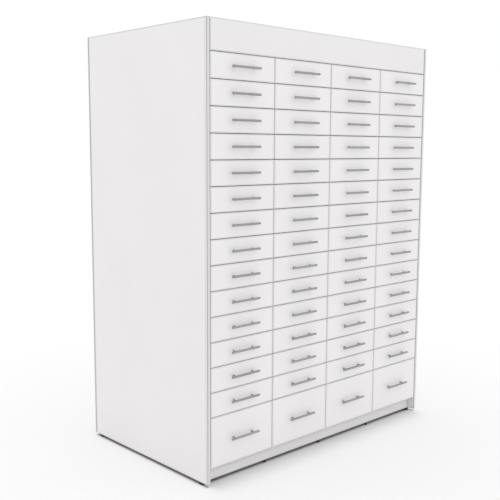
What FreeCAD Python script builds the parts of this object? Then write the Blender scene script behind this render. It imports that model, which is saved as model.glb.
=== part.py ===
import FreeCAD, Part
import os

# Prescription cabinet: a tall free-standing cabinet with a grid of pull-out drawers, four columns
# wide, fourteen rows of shallow drawers over one row of deep drawers, a fixed header and a plinth.
# Millimetres, +Z up, the fronts face -Y. The origin is on the floor, under the middle of the
# whole object, handles included. Rows count from the top and columns from the left.

# Driving dimensions of the drawer fronts
columns = 4
shallow_rows = 14
front_width = 429.0
front_thickness = 18.0
front_gap = 3.0

# Driving dimensions of the carcass
cabinet_depth = 1036.0
side_thickness = 18.0
side_post_depth = 18.0
partition_thickness = 18.0
top_thickness = 18.0
bottom_thickness = 18.0
back_thickness = 8.0
header_height = 153.0
header_thickness = 18.0
rail_depth = 80.0
rail_thickness = 18.0
carcass_setback = 2.0
front_hang = 2.0

# Driving dimensions of the plinth and the glides
plinth_height = 82.0
plinth_recess = 46.0
plinth_thickness = 18.0
glide_height = 14.0
glide_base_radius = 26.0
glide_top_radius = 22.0
glide_side_inset = 3.0
glide_front_setback = 66.0
glide_rear_setback = 54.0
small_glide_base_radius = 9.0
small_glide_top_radius = 8.0

# Driving dimensions of the drawer boxes. The headroom is from a box's top to its front's upper edge
box_wall = 12.0
box_bottom = 8.0
shallow_box_height = 96.0
deep_box_height = 232.0
shallow_box_headroom = 13.0
deep_box_headroom = 3.0
box_rear_gap = 22.0
drawer_travel = 740.0

# Driving dimensions of the roller runners
runner_space = 12.5
runner_sheet = 1.2
runner_clearance = 0.3
runner_flange_gap = 0.8
runner_front_gap = 2.0
runner_rear_gap = 20.0
runner_lift = 12.0
deep_runner_lift = 2.0
channel_lip = 5.2
channel_floor = 10.8
member_lift = 4.0
member_rear_gap = 2.0
roller_radius = 11.7
roller_end_gap = 1.0
roller_inset = 2.0
stop_reach = 3.0
stop_length = 6.0
stop_height = 10.0

# Driving dimensions of the bar handles
bar_radius = 6.0
bar_length = 188.0
bar_chamfer = 0.8
bar_standoff = 26.0
post_radius = 4.0
post_spacing = 128.0
post_seat_depth = 2.0
post_seat_clearance = 0.1
handle_screw_radius = 2.0
handle_screw_reach = 8.0
handle_screw_end_gap = 1.0
handle_screw_clearance = 0.2
screw_head_radius = 4.0
screw_head_height = 2.5

# Driving dimensions of the screws in the back panel
back_screw_radius = 1.75
back_screw_length = 25.0
back_screw_head_radius = 3.5
back_screw_head_height = 2.0
back_screw_clearance = 0.1
back_screw_rows = 7
back_screw_end_inset = 60.0

# From this row down each drawer is a piece of its own, and above it the drawers are joined column
# by column. One drawer, given by its row and column, comes apart into its pieces
first_single_row = 6
open_drawer = (6, 1)

# Heights of the fronts: each hides the space under its box, the box and the headroom over it
shallow_box_foot = runner_lift + member_lift
deep_box_foot = front_hang + bottom_thickness + deep_runner_lift + member_lift
shallow_front_height = shallow_box_foot + shallow_box_height + shallow_box_headroom
deep_front_height = deep_box_foot + deep_box_height + deep_box_headroom

# Places worked out from the driving dimensions
deep_row = shallow_rows + 1
inner_width = columns * front_width + (columns + 1) * front_gap
width = inner_width + 2 * side_thickness
left_x = -width / 2
inner_left_x = left_x + side_thickness
inner_right_x = inner_left_x + inner_width
handle_projection = bar_standoff + bar_radius
front_y = handle_projection / 2 - cabinet_depth / 2
front_back_y = front_y + front_thickness
carcass_y = front_back_y + carcass_setback
rear_y = front_y + cabinet_depth
back_panel_y = rear_y - back_thickness
fronts_z = glide_height + plinth_height
shallow_pitch = shallow_front_height + front_gap
shallow_z = fronts_z + deep_front_height + front_gap
header_z = shallow_z + shallow_rows * shallow_pitch
height = header_z + header_height
bottom_z = fronts_z + front_hang
bottom_top_z = bottom_z + bottom_thickness
top_z = height - top_thickness
bay_width = (inner_width - (columns - 1) * partition_thickness) / columns
bay_pitch = bay_width + partition_thickness

# The runner's section: x counts from the carcass wall towards the box, z from the channel's underside
floor_top = runner_sheet
roller_z = floor_top + runner_clearance + roller_radius
lip_z = roller_z + roller_radius + runner_clearance
lip_top = lip_z + runner_sheet
member_x = runner_space - runner_sheet
flange_x = channel_lip + runner_flange_gap
channel_y = carcass_y + runner_front_gap
channel_length = back_panel_y - runner_rear_gap - channel_y
box_length = back_panel_y - box_rear_gap - front_back_y
member_length = box_length - member_rear_gap
front_roller_y = channel_y + roller_inset + roller_radius
rear_roller_y = front_back_y + member_length - roller_inset - roller_radius
stop_y = rear_roller_y - drawer_travel - roller_radius - runner_clearance


def block(x0, x1, y0, y1, z0, z1):
    """A rectangular board between two corners."""
    return Part.makeBox(x1 - x0, y1 - y0, z1 - z0, FreeCAD.Vector(x0, y0, z0))


def rod(radius, start, end):
    """A round bar between two points."""
    run = end - start
    return Part.makeCylinder(radius, run.Length, start, run)


def bar_along_y(section, y0, length):
    """A profile given by its (x, z) corners, drawn out along +Y."""
    points = [FreeCAD.Vector(x, y0, z) for x, z in section]
    face = Part.Face(Part.makePolygon(points + points[:1]))
    return face.extrude(FreeCAD.Vector(0, length, 0))


def raised(solids, z):
    """Copies of solids, higher by z."""
    return [solid.translated(FreeCAD.Vector(0, 0, z)) for solid in solids]


def export(name, solids):
    """Writes one piece, or a group of like pieces, as one file."""
    shape = solids[0] if len(solids) == 1 else Part.makeCompound(solids)
    shape.exportStep("parts/" + name + ".step")


def front_left(column):
    """The left edge of a column's fronts."""
    return inner_left_x + front_gap + (column - 1) * (front_width + front_gap)


def bay_left(column):
    """The left wall of a column's bay, between two uprights of the carcass."""
    return inner_left_x + (column - 1) * bay_pitch


def partition_middle(number):
    """The middle of the partition between this column and the next."""
    return bay_left(number + 1) - partition_thickness / 2


def row_bottom(row):
    """The lower edge of a row's fronts."""
    if row == deep_row:
        return fronts_z
    return shallow_z + (shallow_rows - row) * shallow_pitch


def runner_bottom(row):
    """The underside of a row's runners. The deep drawers' stand just above the bottom panel."""
    if row == deep_row:
        return bottom_top_z + deep_runner_lift
    return row_bottom(row) + runner_lift


def front_height(row):
    return deep_front_height if row == deep_row else shallow_front_height


def box_height(row):
    return deep_box_height if row == deep_row else shallow_box_height


def cabinet_runner(wall_x, way):
    """One fixed member on a carcass wall: a steel channel with its stop, and the roller at its
    front end. way is 1 for a wall on the left of the bay and -1 for one on the right."""
    section = [
        (0, 0),
        (channel_floor, 0),
        (channel_floor, floor_top),
        (runner_sheet, floor_top),
        (runner_sheet, lip_z),
        (channel_lip, lip_z),
        (channel_lip, lip_top),
        (0, lip_top),
    ]
    placed = [(wall_x + way * x, z) for x, z in section]
    channel = bar_along_y(placed, channel_y, channel_length)
    stop_near = wall_x + way * runner_sheet / 2
    stop_far = wall_x + way * (runner_sheet + stop_reach)
    stop_left, stop_right = sorted((stop_near, stop_far))
    stop_low = roller_z - stop_height / 2
    stop = block(stop_left, stop_right, stop_y - stop_length, stop_y, stop_low, stop_low + stop_height)
    roller_start = wall_x + way * runner_sheet
    roller_end = wall_x + way * (member_x - roller_end_gap)
    roller = rod(
        roller_radius,
        FreeCAD.Vector(roller_start, front_roller_y, roller_z),
        FreeCAD.Vector(roller_end, front_roller_y, roller_z),
    )
    return [channel.fuse(stop).removeSplitter(), roller]


def drawer_runner(wall_x, way):
    """One moving member, screwed to the box: an angle that bears on the cabinet's roller, and the
    roller at its rear end, which runs in the channel."""
    section = [
        (member_x, member_lift),
        (runner_space, member_lift),
        (runner_space, lip_top),
        (flange_x, lip_top),
        (flange_x, lip_z),
        (member_x, lip_z),
    ]
    placed = [(wall_x + way * x, z) for x, z in section]
    member = bar_along_y(placed, front_back_y, member_length)
    roller_start = wall_x + way * member_x
    roller_end = wall_x + way * (runner_sheet + roller_end_gap)
    roller = rod(
        roller_radius,
        FreeCAD.Vector(roller_start, rear_roller_y, roller_z),
        FreeCAD.Vector(roller_end, rear_roller_y, roller_z),
    )
    return [member, roller]


def post_places(middle_x):
    return [middle_x - post_spacing / 2, middle_x + post_spacing / 2]


def bar_handle(middle_x, middle_z, screwed):
    """A round bar on two posts. Each post stands in a seat in the bar. Where the handle is shown
    with its screws, each post also has the hole that its screw goes into."""
    axis_y = front_y - bar_standoff
    half = bar_length / 2
    inner = half - bar_chamfer
    bar = rod(
        bar_radius,
        FreeCAD.Vector(middle_x - inner, axis_y, middle_z),
        FreeCAD.Vector(middle_x + inner, axis_y, middle_z),
    )
    narrow = bar_radius - bar_chamfer
    for way in (-1, 1):
        end = Part.makeCone(
            bar_radius,
            narrow,
            bar_chamfer,
            FreeCAD.Vector(middle_x + way * inner, axis_y, middle_z),
            FreeCAD.Vector(way, 0, 0),
        )
        bar = bar.fuse(end)
    seat_y = axis_y + bar_radius - post_seat_depth
    posts = []
    for x in post_places(middle_x):
        seat_end = FreeCAD.Vector(x, seat_y, middle_z)
        base = FreeCAD.Vector(x, front_y, middle_z)
        bar = bar.cut(rod(post_radius + post_seat_clearance, seat_end, base))
        post = rod(post_radius, seat_end, base)
        if screwed:
            hole_end = FreeCAD.Vector(x, front_y - handle_screw_reach - handle_screw_end_gap, middle_z)
            post = post.cut(rod(handle_screw_radius + handle_screw_clearance, base, hole_end))
        posts.append(post)
    return [bar.removeSplitter()] + posts


def handle_screw(x, z):
    """A pan-head screw from inside the front into a post."""
    seat = FreeCAD.Vector(x, front_back_y, z)
    tip = FreeCAD.Vector(x, front_y - handle_screw_reach, z)
    outer = FreeCAD.Vector(x, front_back_y + screw_head_height, z)
    return rod(handle_screw_radius, seat, tip).fuse(rod(screw_head_radius, seat, outer))


def make_drawer(column, row, screwed):
    """One drawer's pieces by name: the front, the box's walls and bottom, the handle, the runners."""
    low_z = row_bottom(row)
    high_z = low_z + front_height(row)
    front_x = front_left(column)
    middle_x = front_x + front_width / 2
    middle_z = (low_z + high_z) / 2
    front = block(front_x, front_x + front_width, front_y, front_back_y, low_z, high_z)
    handle = bar_handle(middle_x, middle_z, screwed)
    if screwed:
        for x in post_places(middle_x):
            outside = FreeCAD.Vector(x, front_y, middle_z)
            inside = FreeCAD.Vector(x, front_back_y, middle_z)
            front = front.cut(rod(handle_screw_radius + handle_screw_clearance, outside, inside))
            handle.append(handle_screw(x, middle_z))

    left_wall = bay_left(column)
    right_wall = left_wall + bay_width
    box_x0 = left_wall + runner_space
    box_x1 = right_wall - runner_space
    box_y1 = front_back_y + box_length
    box_z0 = runner_bottom(row) + member_lift
    floor_z = box_z0 + box_bottom
    box_z1 = box_z0 + box_height(row)
    inner_y1 = box_y1 - box_wall
    bottom = block(box_x0, box_x1, front_back_y, box_y1, box_z0, floor_z)
    walls = [
        block(box_x0, box_x0 + box_wall, front_back_y, box_y1, floor_z, box_z1),
        block(box_x1 - box_wall, box_x1, front_back_y, box_y1, floor_z, box_z1),
        block(box_x0 + box_wall, box_x1 - box_wall, inner_y1, box_y1, floor_z, box_z1),
    ]
    runners = drawer_runner(left_wall, 1) + drawer_runner(right_wall, -1)
    return {
        "front_panel": [front],
        "box_walls": walls,
        "box_bottom": [bottom],
        "handle": handle,
        "runners": raised(runners, runner_bottom(row)),
    }


def all_of(drawer):
    return [solid for solids in drawer.values() for solid in solids]


def back_screw_places():
    """Where the back panel is screwed on: up each partition, and once a bay along the top and
    bottom panels."""
    low = bottom_top_z + back_screw_end_inset
    high = top_z - back_screw_end_inset
    step = (high - low) / (back_screw_rows - 1)
    on_partitions = [
        (partition_middle(number), low + level * step)
        for number in range(1, columns)
        for level in range(back_screw_rows)
    ]
    on_panels = [
        (bay_left(column) + bay_width / 2, z)
        for column in range(1, columns + 1)
        for z in (bottom_z + bottom_thickness / 2, top_z + top_thickness / 2)
    ]
    return on_partitions + on_panels


def back_screw(x, z, spare=0.0):
    """A countersunk screw, flush with the back. With spare it is the hole for one."""
    outside = FreeCAD.Vector(x, rear_y, z)
    tip = FreeCAD.Vector(x, rear_y - back_screw_length - spare, z)
    head = Part.makeCone(
        back_screw_head_radius + spare,
        back_screw_radius + spare,
        back_screw_head_height,
        outside,
        FreeCAD.Vector(0, -1, 0),
    )
    return rod(back_screw_radius + spare, outside, tip).fuse(head)


def with_screw_holes(board):
    """The board less the back screws' holes that reach it."""
    near = board.BoundBox
    holes = [
        back_screw(x, z, back_screw_clearance)
        for x, z in back_screw_places()
        if near.XMin < x < near.XMax and near.ZMin < z < near.ZMax
    ]
    return board.cut(Part.makeCompound(holes))


def make_uprights():
    """The side panels, each a board with a post along its front edge, and the partitions."""
    for name, x in (("side_panel_left", left_x), ("side_panel_right", inner_right_x)):
        board_y = front_y + side_post_depth
        post = block(x, x + side_thickness, front_y, board_y, glide_height, height)
        board = block(x, x + side_thickness, board_y, rear_y, glide_height, height)
        export(name, [board, post])
    partitions = []
    for number in range(1, columns):
        x = partition_middle(number) - partition_thickness / 2
        board = block(x, x + partition_thickness, carcass_y, back_panel_y, bottom_top_z, top_z)
        partitions.append(with_screw_holes(board))
    export("partitions", partitions)


def make_panels():
    top = block(inner_left_x, inner_right_x, front_y + header_thickness, back_panel_y, top_z, height)
    export("top_panel", [with_screw_holes(top)])
    bottom = block(inner_left_x, inner_right_x, carcass_y, back_panel_y, bottom_z, bottom_top_z)
    export("bottom_panel", [with_screw_holes(bottom)])
    back = block(inner_left_x, inner_right_x, back_panel_y, rear_y, bottom_z, height)
    export("back_panel", [with_screw_holes(back)])
    export("back_panel_screws", [back_screw(x, z) for x, z in back_screw_places()])


def make_header():
    left = inner_left_x + front_gap
    right = inner_right_x - front_gap
    back_y = front_y + header_thickness
    export("header_panel", [block(left, right, front_y, back_y, header_z, height)])
    rails = []
    for column in range(1, columns + 1):
        x = bay_left(column)
        rails.append(block(x, x + bay_width, back_y, back_y + rail_depth, header_z, header_z + rail_thickness))
    export("header_rails", rails)


def make_base():
    """The plinth boards, a large glide at each corner, and small ones under the plinth boards."""
    board_ys = (front_y + plinth_recess, rear_y - plinth_recess - plinth_thickness)
    boards = [
        block(inner_left_x, inner_right_x, y, y + plinth_thickness, glide_height, bottom_z)
        for y in board_ys
    ]
    export("plinth_boards", boards)
    from_side = glide_side_inset + glide_base_radius
    glides = [
        Part.makeCone(glide_base_radius, glide_top_radius, glide_height, FreeCAD.Vector(x, y, 0))
        for x in (left_x + from_side, -left_x - from_side)
        for y in (front_y + glide_front_setback, rear_y - glide_rear_setback)
    ]
    for number in range(1, columns):
        for y in board_ys:
            foot = FreeCAD.Vector(partition_middle(number), y + plinth_thickness / 2, 0)
            glides.append(Part.makeCone(small_glide_base_radius, small_glide_top_radius, glide_height, foot))
    export("glides", glides)


def make_cabinet_runners():
    solids = []
    for column in range(1, columns + 1):
        left_wall = bay_left(column)
        pair = cabinet_runner(left_wall, 1) + cabinet_runner(left_wall + bay_width, -1)
        for row in range(1, deep_row + 1):
            solids += raised(pair, runner_bottom(row))
    export("cabinet_runners", solids)


def make_drawers():
    for column in range(1, columns + 1):
        joined = []
        for row in range(1, first_single_row):
            joined += all_of(make_drawer(column, row, False))
        if joined:
            export(f"drawers_rows01_to_{first_single_row - 1:02d}_column{column}", joined)
        for row in range(first_single_row, deep_row + 1):
            name = f"drawer_row{row:02d}_column{column}"
            if (row, column) == open_drawer:
                for piece, solids in make_drawer(column, row, True).items():
                    export(name + "_" + piece, solids)
            else:
                export(name, all_of(make_drawer(column, row, False)))


os.makedirs("parts", exist_ok=True)
make_uprights()
make_panels()
make_header()
make_base()
make_cabinet_runners()
make_drawers()
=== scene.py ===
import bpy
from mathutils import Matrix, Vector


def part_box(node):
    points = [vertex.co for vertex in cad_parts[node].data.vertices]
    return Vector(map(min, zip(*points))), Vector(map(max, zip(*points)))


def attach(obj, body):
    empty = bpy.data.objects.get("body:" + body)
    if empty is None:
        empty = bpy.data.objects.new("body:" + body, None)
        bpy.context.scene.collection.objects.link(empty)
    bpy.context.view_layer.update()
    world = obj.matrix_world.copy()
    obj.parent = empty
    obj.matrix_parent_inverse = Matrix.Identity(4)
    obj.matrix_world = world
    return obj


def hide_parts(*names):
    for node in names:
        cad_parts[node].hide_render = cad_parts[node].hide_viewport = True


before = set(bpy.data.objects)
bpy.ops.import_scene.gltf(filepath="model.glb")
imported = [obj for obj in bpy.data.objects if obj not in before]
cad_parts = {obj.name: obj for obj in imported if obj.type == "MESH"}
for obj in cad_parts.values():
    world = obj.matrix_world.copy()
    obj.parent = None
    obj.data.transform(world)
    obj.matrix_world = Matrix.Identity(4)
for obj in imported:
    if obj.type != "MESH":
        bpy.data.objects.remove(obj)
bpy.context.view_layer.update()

import math

import bpy
from mathutils import Matrix, Vector

# A tall white cabinet of drawers in the frame of its solids. Metres, +Z up, the fronts face -Y.
# Rows count from the top and columns from the left.

side_low, side_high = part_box("side_panel_left")
front_low, front_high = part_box("drawer_row06_column1_front_panel")
walls_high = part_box("drawer_row06_column1_box_walls")[1]
partition_low, partition_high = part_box("partitions")
plinth_low, plinth_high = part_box("plinth_boards")
top_low, top_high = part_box("top_panel")
bottom_low, bottom_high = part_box("bottom_panel")
glides_low, glides_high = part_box("glides")
fixed_low, fixed_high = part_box("cabinet_runners")

# Grid of the drawers
COLUMNS = 4
ROWS = 15
DEEP_ROW = 15
FIRST_SINGLE_ROW = 6
OPEN_DRAWER = (6, 1)
BOARD = 0.018
FRONT_GAP = 0.003
FRONT_X = front_low.x
FRONT_WIDTH = front_high.x - front_low.x
FRONT_PITCH = FRONT_WIDTH + FRONT_GAP
BAY_X = side_high.x
BAY_WIDTH = partition_low.x - BAY_X
BAY_PITCH = BAY_WIDTH + BOARD
SHALLOW_Z = 0.360
SHALLOW_PITCH = 0.128
SHALLOW_HEIGHT = 0.125
DEEP_Z = 0.096
DEEP_HEIGHT = 0.261

# Places from the front to the back, and half the cabinet's width
FRONT_Y = front_low.y
FRONT_BACK_Y = front_high.y
CARCASS_Y = partition_low.y
PLINTH_Y = plinth_low.y
REAR_Y = side_high.y
HALF_WIDTH = -side_low.x

# Drawer boxes
BOX_SPACE = 0.0125
BOX_WALL = 0.012
BOX_BOTTOM = 0.008
BOX_REAR_Y = walls_high.y
SHALLOW_BOX = 0.096
DEEP_BOX = 0.232

# Bar handles. The posts start in a low collar and end inside the bar
BAR_STANDOFF = 0.026
BAR_Y = FRONT_Y - BAR_STANDOFF
BAR_RADIUS = 0.006
BAR_LENGTH = 0.188
BAR_CHAMFER = 0.0008
POST_RADIUS = 0.004
POST_SPREAD = 0.064
POST_DEPTH_SHARE = 0.7
COLLAR_WIDTH = 0.0012
COLLAR_HEIGHT = 0.0010
COLLAR_TOP = 0.0014
HANDLE_SCREW_RADIUS = 0.004
HANDLE_SCREW_HEIGHT = 0.0025

# Roller runners: x counts from the carcass wall, z from the channel's underside
SHEET = 0.0012
LIP_X = 0.0052
FLOOR_X = 0.0108
FLANGE_X = 0.006
MEMBER_X = 0.0113
MEMBER_LIFT = 0.004
LIP_Z = 0.0252
LIP_TOP = 0.0264
ROLLER_Z = 0.0132
ROLLER_RADIUS = 0.0117
ROLLER_INSET = 0.0157
ROLLER_END_GAP = 0.001
ROLLER_CLEARANCE = 0.0003
TRAVEL = 0.740
RUNNER_LIFT = 0.012
DEEP_RUNNER_LIFT = 0.022
CHANNEL_Y = fixed_low.y
CHANNEL_END_Y = fixed_high.y
FRONT_ROLLER_Y = CARCASS_Y + ROLLER_INSET
REAR_ROLLER_Y = BOX_REAR_Y - ROLLER_INSET
MEMBER_REAR_GAP = 0.002
MEMBER_END_Y = BOX_REAR_Y - MEMBER_REAR_GAP
STOP_Y = REAR_ROLLER_Y - TRAVEL - ROLLER_RADIUS - ROLLER_CLEARANCE
STOP_REACH = 0.003
STOP_LENGTH = 0.006
STOP_HALF_HEIGHT = 0.005
RUNNER_SCREW_RADIUS = 0.0035
RUNNER_SCREW_HEIGHT = 0.0009
CHANNEL_SCREWS = (0.064, 0.352, 0.672, 0.928)
MEMBER_SCREWS = (0.051, 0.435, 0.819)

# Profiles of the turned pieces: the roller's in shares of its length and radius, the rivet's in metres
# past the roller's end, the glide's in metres and in shares of its radius
ROLLER_PROFILE = [(0, 0), (0, 0.6), (0.04, 0.94), (0.12, 1), (0.88, 1), (0.96, 0.94), (1, 0.6), (1, 0)]
RIVET_PROFILE = [(0, 0.0032), (0.0004, 0.0030), (0.0006, 0)]
GLIDE_PROFILE = [
    (0, 0), (0, 0.975), (0.0003, 0.99), (0.0008, 1), (0.0050, 1), (0.0056, 0.965),
    (0.0070, 0.955), (0.0076, 0.93), (0.0125, 0.88), (0.0132, 0.85), (0.0140, 0.82), (0.0140, 0),
]
BAR_SIDES = 32
POST_SIDES = 24
ROLLER_SIDES = 28
RIVET_SIDES = 16
GLIDE_SIDES = 40

# Glides, from the cabinet's front and rear to the middle of the large ones
GLIDE_RADIUS = 0.026
SMALL_GLIDE_RADIUS = 0.009
GLIDE_FRONT_SETBACK = 0.066
GLIDE_REAR_SETBACK = 0.054

# Screws of the back panel: a row up each partition, and one into the top and bottom panels at each bay
BACK_SCREW_RADIUS = 0.0035
BACK_SCREW_HEIGHT = 0.0006
BACK_SCREW_ROWS = 7
BACK_SCREW_INSET = 0.060

# Head of a screw, in shares of its radius and height
SCREW_ARM = 0.55
SCREW_ARM_HALF = 0.14
SCREW_RECESS = 0.6
SCREW_SHOULDER = 0.45
SCREW_CROWN = 0.78

# Edges of the boards: the rounding, and the soft rim of painted shade beside it
EDGE = 0.0015
BOX_EDGE = 0.0008
BASE_EDGE = 0.0006
RIM = 0.008
BOX_RIM = 0.004
FRONT_RIM = 0.012
# PLINTH_RIM is painted shadow along the plinth's top, under the overhanging fronts
PLINTH_RIM = 0.055
REAR_TRIM = 0.017


class Build:
    """A mesh in the making: points, faces with their material, and a normal for each face corner."""

    def __init__(self):
        self.points = []
        self.rim = []
        self.faces = []
        self.slots = []
        self.normals = []
        self.materials = []

    def point(self, place, rim=0.0):
        self.points.append(Vector(place))
        self.rim.append(rim)
        return len(self.points) - 1

    def face(self, corners, material, normals=None, out=None):
        """Adds a face. out is the way it has to look; normals, one for each corner, make it round."""
        places = [self.points[i] for i in corners]
        flat = Vector((0, 0, 0))
        for here, after in zip(places, places[1:] + places[:1]):
            flat += here.cross(after)
        flat.normalize()
        if out is not None and flat.dot(out) < 0:
            corners = corners[::-1]
            normals = normals[::-1] if normals else None
            flat = -flat
        if material not in self.materials:
            self.materials.append(material)
        self.faces.append(corners)
        self.slots.append(self.materials.index(material))
        self.normals.extend(normals or [flat] * len(corners))

    def piece(self, name, body, slot, *nodes):
        """Makes the object, which rides on its body in place of the solids it stands for."""
        mesh = bpy.data.meshes.new(name)
        mesh.from_pydata(self.points, [], self.faces)
        mesh.polygons.foreach_set("material_index", self.slots)
        mesh.attributes.new("rim", "FLOAT", "POINT").data.foreach_set("value", self.rim)
        mesh.normals_split_custom_set(self.normals)
        for material in self.materials:
            mesh.materials.append(material)
        mesh.validate()
        made = bpy.data.objects.new(name, mesh)
        bpy.context.scene.collection.objects.link(made)
        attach(made, body)
        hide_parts(*nodes)


def board(build, low, high, axis, looks, edge=EDGE, rim=RIM, joined=(), rims=None):
    """A board with rounded edges. axis is across its two large faces, and looks are the materials
    of those faces, of the four narrow ones and of the rounded edges. A side is (axis, 0 or 1), and at
    the joined sides the board runs on into another without an edge. rim is the width of the painted
    shade along the edges of the large faces, and rims has the sides with a rim of another width."""
    face_look, band_look, edge_look = looks
    rims = rims or {}
    ends = (low, high)
    corners = [(i, j, k) for i in (0, 1) for j in (0, 1) for k in (0, 1)]
    place = {}
    normal = {}
    for corner in corners:
        for a in range(3):
            spot = []
            for b in range(3):
                inset = 0 if b == a or (b, corner[b]) in joined else edge
                spot.append(ends[corner[b]][b] + inset * (1 - 2 * corner[b]))
            place[corner, a] = build.point(spot, 1.0)
            normal[corner, a] = Vector([(2 * corner[a] - 1) if b == a else 0 for b in range(3)])
    for a in range(3):
        b, c = [other for other in range(3) if other != a]
        for side in (0, 1):
            loop = []
            for u, v in ((0, 0), (1, 0), (1, 1), (0, 1)):
                corner = [0, 0, 0]
                corner[a], corner[b], corner[c] = side, u, v
                loop.append(tuple(corner))
            outer = [place[corner, a] for corner in loop]
            out = normal[loop[0], a]
            if a != axis:
                build.face(outer, band_look, out=out)
                continue
            inner = []
            for corner, index in zip(loop, outer):
                spot = build.points[index].copy()
                for d in (b, c):
                    if (d, corner[d]) not in joined:
                        spot[d] += rims.get((d, corner[d]), rim) * (1 - 2 * corner[d])
                inner.append(build.point(spot))
            build.face(inner, face_look, out=out)
            for i in range(4):
                j = (i + 1) % 4
                if not any(loop[i][d] == loop[j][d] == end for d, end in joined):
                    build.face([outer[i], outer[j], inner[j], inner[i]], face_look, out=out)
        for u in (0, 1):
            for v in (0, 1):
                near, far = [0, 0, 0], [0, 0, 0]
                near[b], near[c] = u, v
                far[a], far[b], far[c] = 1, u, v
                keys = [(tuple(near), b), (tuple(far), b), (tuple(far), c), (tuple(near), c)]
                out = normal[keys[0]] + normal[keys[2]]
                build.face([place[k] for k in keys], edge_look, [normal[k] for k in keys], out)
    for corner in corners:
        keys = [(corner, a) for a in range(3)]
        out = normal[keys[0]] + normal[keys[1]] + normal[keys[2]]
        build.face([place[k] for k in keys], edge_look, [normal[k] for k in keys], out)


def turned(build, start, along, profile, look, sides):
    """A turned piece: profile gives (distance along the axis, radius), and a radius of 0 closes it."""
    along = Vector(along).normalized()
    across = along.orthogonal().normalized()
    beside = along.cross(across)
    spokes = []
    for i in range(sides):
        turn = 2 * math.pi * i / sides
        spokes.append(across * math.cos(turn) + beside * math.sin(turn))
    rings = []
    for distance, radius in profile:
        middle = Vector(start) + along * distance
        if radius:
            rings.append([build.point(middle + spoke * radius) for spoke in spokes])
        else:
            rings.append([build.point(middle)])
    for k in range(len(profile) - 1):
        (d0, r0), (d1, r1) = profile[k], profile[k + 1]
        slope = Vector((d1 - d0, r0 - r1))
        slope.normalize()
        normals = [spoke * slope[0] + along * slope[1] for spoke in spokes]
        for i in range(sides):
            j = (i + 1) % sides
            if len(rings[k]) == 1 or len(rings[k + 1]) == 1:
                if len(rings[k]) == 1:
                    corners = [rings[k][0], rings[k + 1][j], rings[k + 1][i]]
                else:
                    corners = [rings[k][i], rings[k][j], rings[k + 1][0]]
                build.face(corners, look, out=normals[i] + normals[j])
                continue
            corners = [rings[k][i], rings[k][j], rings[k + 1][j], rings[k + 1][i]]
            rounded = [normals[i], normals[j], normals[j], normals[i]]
            build.face(corners, look, rounded, normals[i] + normals[j])


def drawn_out(build, section, y0, y1, look):
    """A profile given by its (x, z) corners, drawn out along +Y."""
    near = [build.point((x, y0, z)) for x, z in section]
    far = [build.point((x, y1, z)) for x, z in section]
    count = len(section)
    area = sum(
        section[i][0] * section[(i + 1) % count][1] - section[(i + 1) % count][0] * section[i][1]
        for i in range(count)
    )
    for i in range(count):
        j = (i + 1) % count
        dx, dz = section[j][0] - section[i][0], section[j][1] - section[i][1]
        out = Vector((dz, 0, -dx)) * (1 if area > 0 else -1)
        build.face([near[i], near[j], far[j], far[i]], look, out=out)
    build.face(near, look, out=Vector((0, -1, 0)))
    build.face(far, look, out=Vector((0, 1, 0)))


def cross_screw(build, seat, out, radius, height, look):
    """A screw's low head with a cross recess, standing on seat."""
    out = Vector(out)
    across = out.orthogonal().normalized()
    beside = out.cross(across)
    seat = Vector(seat)
    arm = radius * SCREW_ARM
    half = radius * SCREW_ARM_HALF
    well_height = height * (1 - SCREW_RECESS)
    cross = [
        (arm, -half), (arm, half), (half, half), (half, arm), (-half, arm), (-half, half),
        (-arm, half), (-arm, -half), (-half, -half), (-half, -arm), (half, -arm), (half, -half),
    ]
    sides = len(cross)

    def ring(size, level):
        spots = []
        for u, v in cross:
            away = Vector((u, v)).normalized() * size
            spots.append(build.point(seat + across * away[0] + beside * away[1] + out * level))
        return spots

    base = ring(radius, 0)
    shoulder = ring(radius, height * SCREW_SHOULDER)
    crown = ring(radius * SCREW_CROWN, height)
    lip = [build.point(seat + across * u + beside * v + out * height) for u, v in cross]
    well = [build.point(seat + across * u + beside * v + out * well_height) for u, v in cross]
    for i in range(sides):
        j = (i + 1) % sides
        away = (build.points[base[i]] + build.points[base[j]]) / 2 - seat
        build.face([base[i], base[j], shoulder[j], shoulder[i]], look, out=away)
        build.face([shoulder[i], shoulder[j], crown[j], crown[i]], look, out=away + out * radius)
        build.face([crown[i], crown[j], lip[j], lip[i]], look, out=out)
        middle = (build.points[lip[i]] + build.points[lip[j]]) / 2
        build.face([lip[i], lip[j], well[j], well[i]], look, out=seat + out * height - middle)
    build.face(well, look, out=out)
    build.face(base, look, out=-out)


# Materials. Most of the noise lies between its low and its high value. The white leans to red and a
# little to blue, and the greys of the boxes and runners to yellow by their share of cream. A relief is
# given by its scale, strength and height
NOISE_LOW = 0.3
NOISE_HIGH = 0.7
PATCH_DETAIL = 4
GLOSS_DETAIL = 3
RELIEF_DETAIL = 2
GLOSS_FINER = 3
RIM_POWER = 1.6
WHITE_RED = 1.02
WHITE_BLUE = 1.01
CREAM = 0.01
NYLON_CREAM = 0.03
BRUSHED = (0.04, 1, 1)
BRUSHED_RELIEF = (300, 0.1, 0.0001)
MOULDED_RELIEF = (600, 0.2, 0.0003)

# Places of the Mix node's sockets for colours, because their names repeat
MIX_SHARE = 0
MIX_A = 6
MIX_B = 7
MIX_COLOUR = 2


def node_material(name):
    made = bpy.data.materials.new(name)
    made.use_nodes = True
    tree = made.node_tree
    tree.nodes.clear()
    shader = tree.nodes.new("ShaderNodeBsdfPrincipled")
    end = tree.nodes.new("ShaderNodeOutputMaterial")
    tree.links.new(shader.outputs["BSDF"], end.inputs["Surface"])
    return made, tree, shader


def grey(value, cream=0.0):
    return (value * (1 + cream), value, value * (1 - cream), 1.0)


def white(value):
    """The boards' white, with a trace of pink."""
    return (value * WHITE_RED, value, value * WHITE_BLUE, 1.0)


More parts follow.
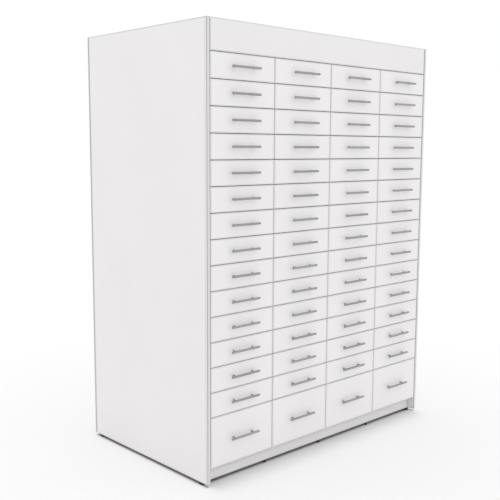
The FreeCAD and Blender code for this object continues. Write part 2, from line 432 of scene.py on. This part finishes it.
def pattern(tree, scale, detail, stretch):
    """Noise fixed to the object, finer along an axis with a larger stretch."""
    place = tree.nodes.new("ShaderNodeTexCoord")
    spread = tree.nodes.new("ShaderNodeMapping")
    spread.inputs["Scale"].default_value = stretch
    noise = tree.nodes.new("ShaderNodeTexNoise")
    noise.inputs["Scale"].default_value = scale
    noise.inputs["Detail"].default_value = detail
    tree.links.new(place.outputs["Object"], spread.inputs["Vector"])
    tree.links.new(spread.outputs["Vector"], noise.inputs["Vector"])
    return noise.outputs["Fac"]


def ramp(tree, value, low, high, low_colour, high_colour):
    blend = tree.nodes.new("ShaderNodeValToRGB")
    blend.color_ramp.elements[0].position = low
    blend.color_ramp.elements[0].color = low_colour
    blend.color_ramp.elements[1].position = high
    blend.color_ramp.elements[1].color = high_colour
    tree.links.new(value, blend.inputs["Fac"])
    return blend.outputs["Color"]


def remap(tree, value, low, high, to_low, to_high):
    change = tree.nodes.new("ShaderNodeMapRange")
    change.inputs["From Min"].default_value = low
    change.inputs["From Max"].default_value = high
    change.inputs["To Min"].default_value = to_low
    change.inputs["To Max"].default_value = to_high
    tree.links.new(value, change.inputs["Value"])
    return change.outputs["Result"]


def fade(tree, value, start, end, lowest=0.0):
    """Rises smoothly from lowest to 1 while value goes from start to end."""
    node = tree.nodes.new("ShaderNodeMapRange")
    node.interpolation_type = "SMOOTHSTEP"
    node.inputs["From Min"].default_value = start
    node.inputs["From Max"].default_value = end
    node.inputs["To Min"].default_value = lowest
    tree.links.new(value, node.inputs["Value"])
    return node.outputs["Result"]


def calculate(tree, operation, *values):
    node = tree.nodes.new("ShaderNodeMath")
    node.operation = operation
    for socket, value in zip(node.inputs, values):
        if isinstance(value, (int, float)):
            socket.default_value = value
        else:
            tree.links.new(value, socket)
    return node.outputs["Value"]


def finish(name, pale, dark, patch, roughness, spread, stretch=(1, 1, 1), metallic=0.0, rim=None, bump=None):
    """A surface whose tone wanders between dark and pale in patches, and whose gloss wanders by spread
    round roughness. rim is the colour of the painted shade along the boards' edges, and bump a fine relief."""
    made, tree, shader = node_material(name)
    patches = pattern(tree, patch, PATCH_DETAIL, stretch)
    colour = ramp(tree, patches, NOISE_LOW, NOISE_HIGH, dark, pale)
    # Painted shade: the colour turns towards rim near the boards' edges
    if rim:
        marked = tree.nodes.new("ShaderNodeAttribute")
        marked.attribute_name = "rim"
        mix = tree.nodes.new("ShaderNodeMix")
        mix.data_type = "RGBA"
        mix.inputs[MIX_B].default_value = rim
        tree.links.new(colour, mix.inputs[MIX_A])
        tree.links.new(calculate(tree, "POWER", marked.outputs["Fac"], RIM_POWER), mix.inputs[MIX_SHARE])
        colour = mix.outputs[MIX_COLOUR]
    tree.links.new(colour, shader.inputs["Base Color"])
    finer = pattern(tree, patch * GLOSS_FINER, GLOSS_DETAIL, stretch)
    gloss = remap(tree, finer, NOISE_LOW, NOISE_HIGH, roughness - spread, roughness + spread)
    tree.links.new(gloss, shader.inputs["Roughness"])
    shader.inputs["Metallic"].default_value = metallic
    if bump:
        scale, strength, height = bump
        relief = tree.nodes.new("ShaderNodeBump")
        relief.inputs["Strength"].default_value = strength
        relief.inputs["Distance"].default_value = height
        tree.links.new(pattern(tree, scale, RELIEF_DETAIL, stretch), relief.inputs["Height"])
        tree.links.new(relief.outputs["Normal"], shader.inputs["Normal"])
    return made


# Patches and gloss of the boards' faces, bands and glue lines
FACE = {"patch": 3.0, "roughness": 0.42, "spread": 0.05}
BAND = {"patch": 12.0, "roughness": 0.38, "spread": 0.05}
LINE = {"patch": 40.0, "roughness": 0.6, "spread": 0.05}
# The rim colours are painted shade along the edges of the boards' large faces
laminate = finish("white_laminate_face", white(0.845), white(0.825), rim=white(0.60), **FACE)
front_face = finish("white_front_face", white(0.875), white(0.855), rim=white(0.66), **FACE)
plinth_face = finish("white_plinth_face", white(0.83), white(0.81), rim=white(0.50), **FACE)
post_face = finish("white_post_face", white(0.75), white(0.73), **FACE)
trim_face = finish("white_rear_trim", white(0.48), white(0.46), **FACE)
band = finish("white_edge_band", white(0.80), white(0.77), **BAND)
# front_band and edge_pale are painted paler than the other bands and edges: painted light inside the shaded
# gaps between the fronts and below the header
front_band = finish("white_front_band", white(0.92), white(0.89), **BAND)
post_band = finish("white_post_band", white(0.72), white(0.70), **BAND)
edge_dark = finish("edge_dark_line", grey(0.26), grey(0.22), **LINE)
edge_grey = finish("edge_glue_line", grey(0.42), grey(0.38), **LINE)
edge_pale = finish("edge_pale_line", grey(0.80), grey(0.76), **LINE)
# The box boards' rim colour is painted shade along their edges and in their corners
box_face = finish(
    "box_board_face", grey(0.80, CREAM), grey(0.76, CREAM),
    patch=9.0, roughness=0.5, spread=0.06, rim=grey(0.62),
)
box_band = finish(
    "box_board_band", grey(0.74, CREAM), grey(0.70, CREAM),
    patch=30.0, roughness=0.5, spread=0.05,
)
box_edge = finish(
    "box_board_edge", grey(0.40, CREAM), grey(0.34, CREAM),
    patch=60.0, roughness=0.6, spread=0.05,
)
coated_steel = finish(
    "coated_steel_sheet", grey(0.74, CREAM), grey(0.70, CREAM),
    patch=40.0, roughness=0.36, spread=0.06,
)
nylon = finish(
    "roller_nylon", grey(0.70, NYLON_CREAM), grey(0.64, NYLON_CREAM),
    patch=90.0, roughness=0.45, spread=0.05,
)
zinc_steel = finish(
    "zinc_screw", grey(0.56), grey(0.44),
    patch=300.0, roughness=0.3, spread=0.08, metallic=1.0,
)
satin_steel = finish(
    "satin_steel_bar", grey(0.40), grey(0.33),
    patch=60.0, roughness=0.32, spread=0.06, metallic=1.0, stretch=BRUSHED, bump=BRUSHED_RELIEF,
)
black_plastic = finish(
    "glide_plastic", grey(0.022), grey(0.014),
    patch=120.0, roughness=0.5, spread=0.08, bump=MOULDED_RELIEF,
)

# Looks of a board: its faces, its bands and its rounded edges
WHITE = (laminate, band, edge_grey)
# HEADER and FRONT take the paler bands and edges, which are painted light in the gaps
HEADER = (laminate, front_band, edge_pale)
FRONT = (front_face, front_band, edge_pale)
PLINTH = (plinth_face, band, edge_grey)
POST = (post_face, post_band, edge_dark)
TRIM = (trim_face, post_band, edge_grey)
BOX = (box_face, box_band, box_edge)


# Carcass
def bay(column):
    left = BAY_X + (column - 1) * BAY_PITCH
    return left, left + BAY_WIDTH


def cabinet_board(name, axis, node, looks=WHITE):
    build = Build()
    board(build, *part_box(node), axis, looks)
    build.piece(name, "cabinet", "white_laminate", node)


# The side boards' rearmost REAR_TRIM is drawn in darker looks (TRIM), as a darker strip along their rear
# edge
trim_y = REAR_Y - REAR_TRIM
for side in ("left", "right"):
    node = "side_panel_" + side
    low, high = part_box(node)
    build = Build()
    ends = (low.x, FRONT_BACK_Y, low.z), (high.x, trim_y, high.z)
    board(build, *ends, 0, WHITE, joined=((1, 0), (1, 1)))
    board(build, low, (high.x, FRONT_BACK_Y, high.z), 0, POST, joined=((1, 1),))
    board(build, (low.x, trim_y, low.z), high, 0, TRIM, joined=((1, 0),))
    build.piece("side_board_" + side, "cabinet", "white_laminate", node)

build = Build()
for column in range(1, COLUMNS):
    left = bay(column)[1]
    low = (left, partition_low.y, partition_low.z)
    high = (left + BOARD, partition_high.y, partition_high.z)
    board(build, low, high, 0, WHITE)
build.piece("partition_boards", "cabinet", "white_laminate", "partitions")

cabinet_board("top_board", 2, "top_panel")
cabinet_board("bottom_board", 2, "bottom_panel")
cabinet_board("header_board", 1, "header_panel", HEADER)
cabinet_board("back_board", 1, "back_panel")

low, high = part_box("header_rails")
for column in range(1, COLUMNS + 1):
    left, right = bay(column)
    build = Build()
    board(build, (left, low.y, low.z), (right, high.y, high.z), 2, WHITE)
    build.piece(f"header_rail_{column}", "cabinet", "white_laminate", "header_rails")

plinth = Build()
# Painted shadow along the top of the plinth boards, under the overhanging fronts
shaded_top = {(2, 1): PLINTH_RIM}
front_ends = plinth_low, (plinth_high.x, PLINTH_Y + BOARD, plinth_high.z)
rear_ends = (plinth_low.x, plinth_high.y - BOARD, plinth_low.z), plinth_high
board(plinth, *front_ends, 1, PLINTH, rims=shaded_top)
board(plinth, *rear_ends, 1, PLINTH, rims=shaded_top)
plinth.piece("plinth_front_and_rear", "cabinet", "white_laminate", "plinth_boards")

screws = Build()
spots = []
top_z = (top_low.z + top_high.z) / 2
bottom_z = (bottom_low.z + bottom_high.z) / 2
step = (top_low.z - bottom_high.z - 2 * BACK_SCREW_INSET) / (BACK_SCREW_ROWS - 1)
for column in range(1, COLUMNS + 1):
    left, right = bay(column)
    spots += [((left + right) / 2, bottom_z), ((left + right) / 2, top_z)]
    if column < COLUMNS:
        first = bottom_high.z + BACK_SCREW_INSET
        spots += [(right + BOARD / 2, first + level * step) for level in range(BACK_SCREW_ROWS)]
for x, z in spots:
    cross_screw(screws, (x, REAR_Y, z), (0, 1, 0), BACK_SCREW_RADIUS, BACK_SCREW_HEIGHT, zinc_steel)
screws.piece("back_screw_heads", "cabinet", "zinc_steel", "back_panel_screws")

# Glides: large ones near the corners, small ones under the plinth boards
glides = []
for x in (glides_low.x + GLIDE_RADIUS, glides_high.x - GLIDE_RADIUS):
    for y in (FRONT_Y + GLIDE_FRONT_SETBACK, REAR_Y - GLIDE_REAR_SETBACK):
        glides.append((x, y, GLIDE_RADIUS))
for column in range(1, COLUMNS):
    for y in (PLINTH_Y + BOARD / 2, plinth_high.y - BOARD / 2):
        glides.append((bay(column)[1] + BOARD / 2, y, SMALL_GLIDE_RADIUS))
for number, (x, y, radius) in enumerate(glides, 1):
    build = Build()
    profile = [(height, radius * share) for height, share in GLIDE_PROFILE]
    turned(build, (x, y, 0), (0, 0, 1), profile, black_plastic, GLIDE_SIDES)
    build.piece(f"glide_{number:02d}", "cabinet", "black_plastic", "glides")


# Runners
def roller(build, start, end):
    """A nylon roller between two points, on a steel rivet."""
    run = Vector(end) - Vector(start)
    profile = [(share * run.length, size * ROLLER_RADIUS) for share, size in ROLLER_PROFILE]
    turned(build, start, run, profile, nylon, ROLLER_SIDES)
    rivet = [(run.length + past, radius) for past, radius in RIVET_PROFILE]
    turned(build, start, run, rivet, zinc_steel, RIVET_SIDES)


def runner_screw(build, seat, way):
    cross_screw(build, seat, (way, 0, 0), RUNNER_SCREW_RADIUS, RUNNER_SCREW_HEIGHT, zinc_steel)


def channel(build, wall, way, z):
    """The fixed member on a carcass wall. way is the direction from the wall to the box."""
    section = [
        (0, 0), (FLOOR_X, 0), (FLOOR_X, SHEET), (SHEET, SHEET),
        (SHEET, LIP_Z), (LIP_X, LIP_Z), (LIP_X, LIP_TOP), (0, LIP_TOP),
    ]
    places = [(wall + way * x, z + up) for x, up in section]
    drawn_out(build, places, CHANNEL_Y, CHANNEL_END_Y, coated_steel)
    axis_z = z + ROLLER_Z
    start = (wall + way * SHEET, FRONT_ROLLER_Y, axis_z)
    end = (wall + way * (MEMBER_X - ROLLER_END_GAP), FRONT_ROLLER_Y, axis_z)
    roller(build, start, end)
    near, far = sorted((wall + way * SHEET / 2, wall + way * (SHEET + STOP_REACH)))
    low, high = axis_z - STOP_HALF_HEIGHT, axis_z + STOP_HALF_HEIGHT
    stop = [(near, low), (far, low), (far, high), (near, high)]
    drawn_out(build, stop, STOP_Y - STOP_LENGTH, STOP_Y, coated_steel)
    for reach in CHANNEL_SCREWS:
        runner_screw(build, (wall + way * SHEET, CHANNEL_Y + reach, axis_z), way)


def member(build, wall, way, z):
    """The moving member on a drawer box's side, beside the carcass wall."""
    section = [
        (MEMBER_X, MEMBER_LIFT), (BOX_SPACE, MEMBER_LIFT), (BOX_SPACE, LIP_TOP),
        (FLANGE_X, LIP_TOP), (FLANGE_X, LIP_Z), (MEMBER_X, LIP_Z),
    ]
    places = [(wall + way * x, z + up) for x, up in section]
    drawn_out(build, places, FRONT_BACK_Y, MEMBER_END_Y, coated_steel)
    axis_z = z + ROLLER_Z
    start = (wall + way * MEMBER_X, REAR_ROLLER_Y, axis_z)
    end = (wall + way * (SHEET + ROLLER_END_GAP), REAR_ROLLER_Y, axis_z)
    roller(build, start, end)
    for reach in MEMBER_SCREWS:
        runner_screw(build, (wall + way * MEMBER_X, FRONT_BACK_Y + reach, axis_z), -way)


def row_bottom(row):
    return DEEP_Z if row == DEEP_ROW else SHALLOW_Z + (DEEP_ROW - 1 - row) * SHALLOW_PITCH


def front_height(row):
    return DEEP_HEIGHT if row == DEEP_ROW else SHALLOW_HEIGHT


def runner_bottom(row):
    return row_bottom(row) + (DEEP_RUNNER_LIFT if row == DEEP_ROW else RUNNER_LIFT)


def front_left(column):
    return FRONT_X + (column - 1) * FRONT_PITCH


fixed = Build()
for column in range(1, COLUMNS + 1):
    left, right = bay(column)
    for row in range(1, ROWS + 1):
        channel(fixed, left, 1, runner_bottom(row))
        channel(fixed, right, -1, runner_bottom(row))
fixed.piece("fixed_runners", "cabinet", "coated_steel", "cabinet_runners")


# Drawers
def make_front(column, row, body, node):
    build = Build()
    left, bottom = front_left(column), row_bottom(row)
    ends = (left, FRONT_Y, bottom), (left + FRONT_WIDTH, FRONT_BACK_Y, bottom + front_height(row))
    # Wider painted shade along the fronts' left and right edges, beside the gaps between columns
    board(build, *ends, 1, FRONT, rims={(0, 0): FRONT_RIM, (0, 1): FRONT_RIM})
    build.piece(f"row{row:02d}_column{column}_front", body, "white_laminate", node)


def make_handle(column, row, body, node):
    build = Build()
    x = front_left(column) + FRONT_WIDTH / 2
    z = row_bottom(row) + front_height(row) / 2
    bar = [
        (0, 0), (0, BAR_RADIUS - BAR_CHAMFER), (BAR_CHAMFER, BAR_RADIUS),
        (BAR_LENGTH - BAR_CHAMFER, BAR_RADIUS), (BAR_LENGTH, BAR_RADIUS - BAR_CHAMFER), (BAR_LENGTH, 0),
    ]
    turned(build, (x - BAR_LENGTH / 2, BAR_Y, z), (1, 0, 0), bar, satin_steel, BAR_SIDES)
    collar = POST_RADIUS + COLLAR_WIDTH
    reach = FRONT_Y - BAR_Y - BAR_RADIUS * POST_DEPTH_SHARE
    post = [(0, collar), (COLLAR_HEIGHT, collar), (COLLAR_TOP, POST_RADIUS), (reach, POST_RADIUS)]
    for post_x in (x - POST_SPREAD, x + POST_SPREAD):
        turned(build, (post_x, FRONT_Y, z), (0, -1, 0), post, satin_steel, POST_SIDES)
        seat = (post_x, FRONT_BACK_Y, z)
        cross_screw(build, seat, (0, 1, 0), HANDLE_SCREW_RADIUS, HANDLE_SCREW_HEIGHT, zinc_steel)
    build.piece(f"row{row:02d}_column{column}_handle", body, "satin_steel", node)


def add_walls(build, column, row):
    left, right = bay(column)
    left, right = left + BOX_SPACE, right - BOX_SPACE
    base = runner_bottom(row) + MEMBER_LIFT
    low, high = base + BOX_BOTTOM, base + (DEEP_BOX if row == DEEP_ROW else SHALLOW_BOX)
    walls = (
        (0, (left, FRONT_BACK_Y, low), (left + BOX_WALL, BOX_REAR_Y, high)),
        (0, (right - BOX_WALL, FRONT_BACK_Y, low), (right, BOX_REAR_Y, high)),
        (1, (left + BOX_WALL, BOX_REAR_Y - BOX_WALL, low), (right - BOX_WALL, BOX_REAR_Y, high)),
    )
    for axis, *ends in walls:
        board(build, *ends, axis, BOX, BOX_EDGE, BOX_RIM)


def add_base(build, column, row):
    left, right = bay(column)
    low = runner_bottom(row) + MEMBER_LIFT
    ends = (left + BOX_SPACE, FRONT_BACK_Y, low), (right - BOX_SPACE, BOX_REAR_Y, low + BOX_BOTTOM)
    board(build, *ends, 2, BOX, BASE_EDGE, BOX_RIM)


def add_members(build, column, row):
    left, right = bay(column)
    member(build, left, 1, runner_bottom(row))
    member(build, right, -1, runner_bottom(row))


for column in range(1, COLUMNS + 1):
    joined_body = f"drawers_rows01_to_{FIRST_SINGLE_ROW - 1:02d}_column{column}"
    joined_boxes = Build()
    for row in range(1, ROWS + 1):
        name = f"row{row:02d}_column{column}"
        body = joined_body if row < FIRST_SINGLE_ROW else "drawer_" + name
        apart = (row, column) == OPEN_DRAWER
        kinds = ("front_panel", "handle", "box_walls", "box_bottom", "runners")
        nodes = [f"{body}_{kind}" if apart else body for kind in kinds]
        make_front(column, row, body, nodes[0])
        make_handle(column, row, body, nodes[1])
        build = joined_boxes if row < FIRST_SINGLE_ROW else Build()
        add_walls(build, column, row)
        if apart:
            build.piece(name + "_box_walls", body, "box_board", nodes[2])
            build = Build()
        add_base(build, column, row)
        if apart:
            build.piece(name + "_box_base", body, "box_board", nodes[3])
            build = Build()
        add_members(build, column, row)
        if apart:
            build.piece(name + "_runner_members", body, "coated_steel", nodes[4])
        elif row >= FIRST_SINGLE_ROW:
            build.piece(name + "_box_on_runners", body, "box_board", body)
    name = f"rows01_to_{FIRST_SINGLE_ROW - 1:02d}_column{column}_boxes_on_runners"
    joined_boxes.piece(name, joined_body, "box_board", joined_body)


# Floor: matt, white far away, with painted shadow where the cabinet stands over it and in front of the
# plinth. Each edge of a shade goes from the place where it starts to the place where it is full
FLOOR_REACH = 40.0
FLOOR_TONE = 0.965
UNDER_SHADE = 0.52
UNDER_SIDES = (HALF_WIDTH + 0.012, HALF_WIDTH - 0.010)
UNDER_SIDE_PANELS = (HALF_WIDTH - BOARD - 0.004, HALF_WIDTH - BOARD + 0.004)
UNDER_FRONT = (FRONT_Y + 0.002, FRONT_Y + 0.012)
UNDER_PLINTH = (PLINTH_Y - 0.010, PLINTH_Y + 0.010)
UNDER_REAR = (REAR_Y - 0.002, REAR_Y - 0.012)
PLINTH_SHADE = 0.13
PLINTH_SHADE_SIDES = (HALF_WIDTH + 0.03, HALF_WIDTH - 0.06)
PLINTH_SHADE_FRONT = (PLINTH_Y - 0.20, PLINTH_Y)
PLINTH_SHADE_REAR = (REAR_Y, REAR_Y - 0.05)
WHITE_FLOOR = (1.0, 3.0)
NEAR_WHITENESS = 0.4


def seen_share(tree):
    """1 for the rays of the eye and of reflections, 0 for those that light the scene."""
    rays = tree.nodes.new("ShaderNodeLightPath")
    seen = calculate(tree, "MAXIMUM", rays.outputs["Is Camera Ray"], rays.outputs["Is Glossy Ray"])
    return calculate(tree, "MAXIMUM", seen, rays.outputs["Is Transmission Ray"])


def mixed(tree, share, first, second, end):
    """Mixes two shaders into the output, with more of the second where share is higher."""
    both = tree.nodes.new("ShaderNodeMixShader")
    tree.links.new(share, both.inputs["Fac"])
    tree.links.new(first, both.inputs[1])
    tree.links.new(second, both.inputs[2])
    tree.links.new(both.outputs["Shader"], end.inputs["Surface"])


def floor_material():
    made = bpy.data.materials.new("pale_floor")
    made.use_nodes = True
    tree = made.node_tree
    tree.nodes.clear()
    place = tree.nodes.new("ShaderNodeTexCoord").outputs["Object"]
    axes = tree.nodes.new("ShaderNodeSeparateXYZ")
    tree.links.new(place, axes.inputs["Vector"])
    aside = calculate(tree, "ABSOLUTE", axes.outputs["X"])
    back = axes.outputs["Y"]

    def times(first, second):
        return calculate(tree, "MULTIPLY", first, second)

    # Painted shadow: the floor is darker under the cabinet, seen through the gap below its boards, and in
    # front of the plinth under the overhanging fronts
    by_side_panel = times(fade(tree, aside, *UNDER_SIDE_PANELS), fade(tree, back, *UNDER_FRONT))
    under = calculate(tree, "MAXIMUM", by_side_panel, fade(tree, back, *UNDER_PLINTH))
    under = times(times(fade(tree, aside, *UNDER_SIDES), under), fade(tree, back, *UNDER_REAR))
    by_plinth = times(fade(tree, back, *PLINTH_SHADE_FRONT), fade(tree, aside, *PLINTH_SHADE_SIDES))
    by_plinth = times(by_plinth, fade(tree, back, *PLINTH_SHADE_REAR))
    painted_shadow = calculate(tree, "MAXIMUM", times(under, UNDER_SHADE), times(by_plinth, PLINTH_SHADE))
    matt = tree.nodes.new("ShaderNodeBsdfDiffuse")
    tree.links.new(calculate(tree, "SUBTRACT", FLOOR_TONE, painted_shadow), matt.inputs["Color"])

    away = tree.nodes.new("ShaderNodeVectorMath")
    away.operation = "LENGTH"
    tree.links.new(place, away.inputs[0])
    whiteness = times(fade(tree, away.outputs["Value"], *WHITE_FLOOR, NEAR_WHITENESS), seen_share(tree))
    # The white glow is kept off the painted shadow
    whiteness = times(whiteness, calculate(tree, "SUBTRACT", 1.0, under))
    whiteness = times(whiteness, calculate(tree, "SUBTRACT", 1.0, by_plinth))
    glow = tree.nodes.new("ShaderNodeEmission")
    glow.inputs["Color"].default_value = grey(1.0)
    end = tree.nodes.new("ShaderNodeOutputMaterial")
    mixed(tree, whiteness, matt.outputs["BSDF"], glow.outputs["Emission"], end)
    return made


mesh = bpy.data.meshes.new("floor")
mesh.from_pydata([(x, y, 0) for x, y in ((-1, -1), (1, -1), (1, 1), (-1, 1))], [], [(0, 1, 2, 3)])
mesh.transform(Matrix.Scale(FLOOR_REACH, 4))
mesh.materials.append(floor_material())
floor = bpy.data.objects.new("floor", mesh)
bpy.context.scene.collection.objects.link(floor)

# World: white to the eye and in reflections, a soft even light for everything else
WORLD_LIGHT = 1.0
world = bpy.data.worlds.new("studio")
bpy.context.scene.world = world
world.use_nodes = True
tree = world.node_tree
tree.nodes.clear()
lit = tree.nodes.new("ShaderNodeBackground")
lit.inputs["Color"].default_value = grey(1.0)
lit.inputs["Strength"].default_value = WORLD_LIGHT
shown = tree.nodes.new("ShaderNodeBackground")
shown.inputs["Color"].default_value = grey(1.0)
end = tree.nodes.new("ShaderNodeOutputWorld")
mixed(tree, seen_share(tree), lit.outputs["Background"], shown.outputs["Background"], end)

# Camera
LENS_MM = 56.843
SENSOR_MM = 36.0
YAW = 0.75313
PITCH = -0.12797
ROLL = 0.00430
EYE = (-3.31600, -3.39830, 1.69433)
CLIP_NEAR = 0.05
CLIP_FAR = 200.0
forward = Vector((math.sin(YAW) * math.cos(PITCH), math.cos(YAW) * math.cos(PITCH), math.sin(PITCH)))
level = Vector((math.cos(YAW), -math.sin(YAW), 0))
upward = level.cross(forward)
camera_x = level * math.cos(ROLL) + upward * math.sin(ROLL)
camera_y = upward * math.cos(ROLL) - level * math.sin(ROLL)
camera = bpy.data.objects.new("camera", bpy.data.cameras.new("camera"))
bpy.context.scene.collection.objects.link(camera)
camera.data.sensor_width = SENSOR_MM
camera.data.lens = LENS_MM
camera.data.clip_start = CLIP_NEAR
camera.data.clip_end = CLIP_FAR
turn = Matrix((camera_x, camera_y, -forward)).transposed().to_4x4()
camera.matrix_world = Matrix.Translation(EYE) @ turn
bpy.context.scene.camera = camera

bpy.context.scene.view_settings.view_transform = "Standard"
